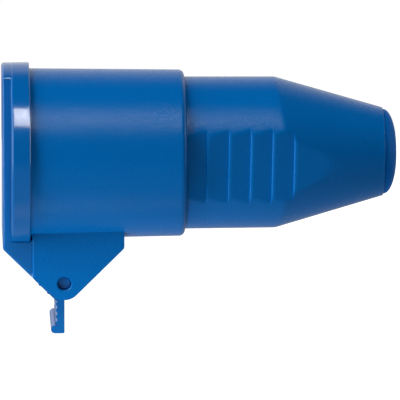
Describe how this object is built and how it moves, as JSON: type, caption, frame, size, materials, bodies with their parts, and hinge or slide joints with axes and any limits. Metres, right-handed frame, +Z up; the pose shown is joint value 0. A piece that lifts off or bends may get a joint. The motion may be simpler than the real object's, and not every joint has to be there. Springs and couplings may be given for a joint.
{
  "type": "trailing cable socket",
  "caption": "Round industrial pin-and-sleeve cable socket: a sprung hinged lid over a shrouded contact face, an oval grip and a cone that ends in a cable bush.",
  "frame": {"origin": "centre of the contact carrier's front face, on the socket's long axis", "axes": "+X along the long axis to the cable end, +Z up and away from the lid's hinge, lid at -X"},
  "size_m": [0.1311, 0.0608, 0.0893],
  "materials": {
    "blue_housing": "moulded polyamide with a fine spark-eroded grain",
    "blue_lid": "moulded polyamide, smoother than the housing",
    "grey_insulator": "moulded polyamide",
    "brass_contact": "turned, nickelled",
    "plated_steel": "zinc plated",
    "black_rubber": "moulded, matt",
    "blue_bush": "moulded elastomer, satin"
  },
  "bodies": {
    "coupler_body": {"front_housing": "blue_housing", "rear_cover": "blue_housing", "body_seal": "black_rubber", "contact_carrier": "grey_insulator", "contact_retainer": "grey_insulator", "retainer_screw": "plated_steel", "live_contact": "brass_contact", "neutral_contact": "brass_contact", "earth_contact": "brass_contact", "live_contact_spring": "plated_steel", "neutral_contact_spring": "plated_steel", "earth_contact_spring": "plated_steel", "live_terminal_screw": "plated_steel", "neutral_terminal_screw": "plated_steel", "earth_terminal_screw": "plated_steel", "clamp_bar": "grey_insulator", "clamp_screw_1": "plated_steel", "clamp_screw_2": "plated_steel", "cover_screw_1": "plated_steel", "cover_screw_2": "plated_steel", "cable_grommet": "blue_bush", "hinge_pin": "blue_lid", "lid_spring": "plated_steel"},
    "lid": {"lid": "blue_lid", "lid_gasket": "black_rubber"}
  },
  "joints": [
    {"name": "lid_hinge", "type": "hinge", "parent": "coupler_body", "child": "lid", "pos_m": [0.0107, 0, -0.0408], "axis": [0, -1, 0], "range_deg": [0, 115], "stiffness_Nm_per_rad": 0.04, "springref_deg": -51.57, "deforming": ["lid_spring"]}
  ]
}
